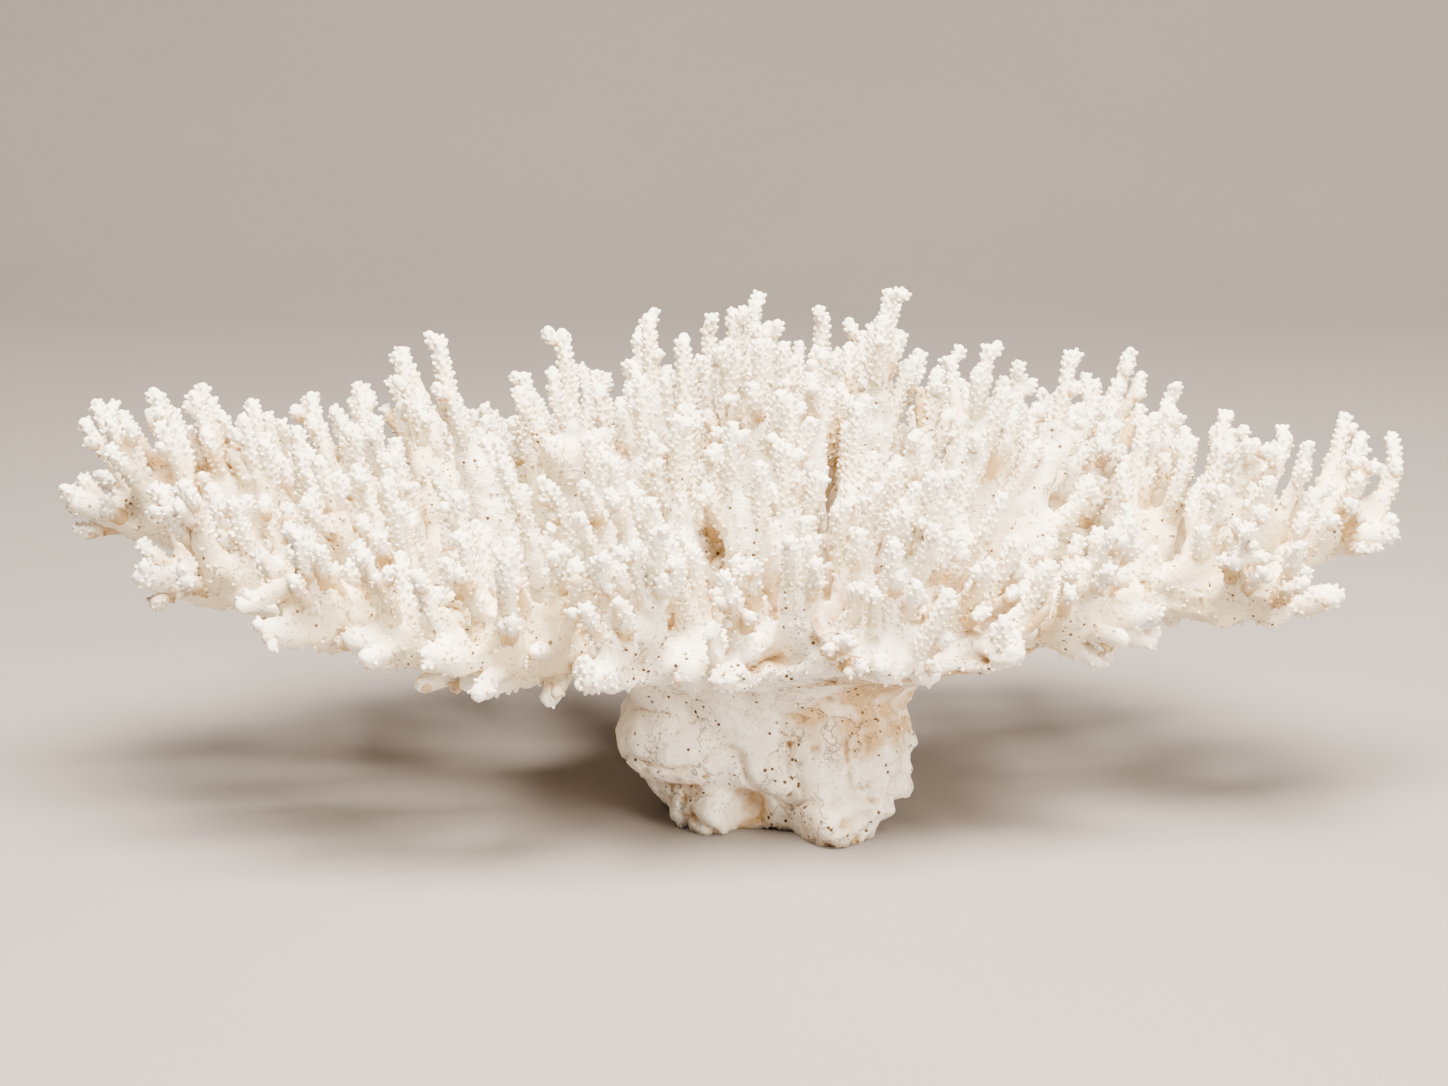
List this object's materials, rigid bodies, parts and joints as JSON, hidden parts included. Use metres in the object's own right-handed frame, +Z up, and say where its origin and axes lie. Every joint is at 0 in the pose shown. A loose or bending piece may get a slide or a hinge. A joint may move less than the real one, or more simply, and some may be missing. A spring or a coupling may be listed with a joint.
{
  "type": "staghorn coral",
  "caption": "Bleached staghorn coral skeleton in table form: a lobed stump, cut flat to stand on, spreads into limbs that carry upright, knobbly branchlets.",
  "frame": {"origin": "middle of the flat cut under the stump", "axes": "+X along the table's long way, to the right in the picture; +Y away from the picture's viewer; +Z up out of the cut"},
  "size_m": [0.475, 0.256, 0.184],
  "materials": {
    "coral_base": "matte, chalky, with tan stains and open pores",
    "coral_white": "matte, chalky white, cream in the hollows"
  },
  "bodies": {
    "root": {"holdfast": "coral_base", "limb_right": "coral_white", "limb_right_low": "coral_white", "limb_back_right": "coral_white", "limb_back": "coral_white", "limb_back_left": "coral_white", "limb_left_back": "coral_white", "limb_left_low": "coral_white", "limb_front_left": "coral_white", "limb_right_front": "coral_white", "limb_right_back": "coral_white", "limb_back_right_inner": "coral_white", "limb_back_left_inner": "coral_white", "limb_left_back_inner": "coral_white", "limb_left": "coral_white", "limb_left_front": "coral_white"}
  },
  "joints": []
}
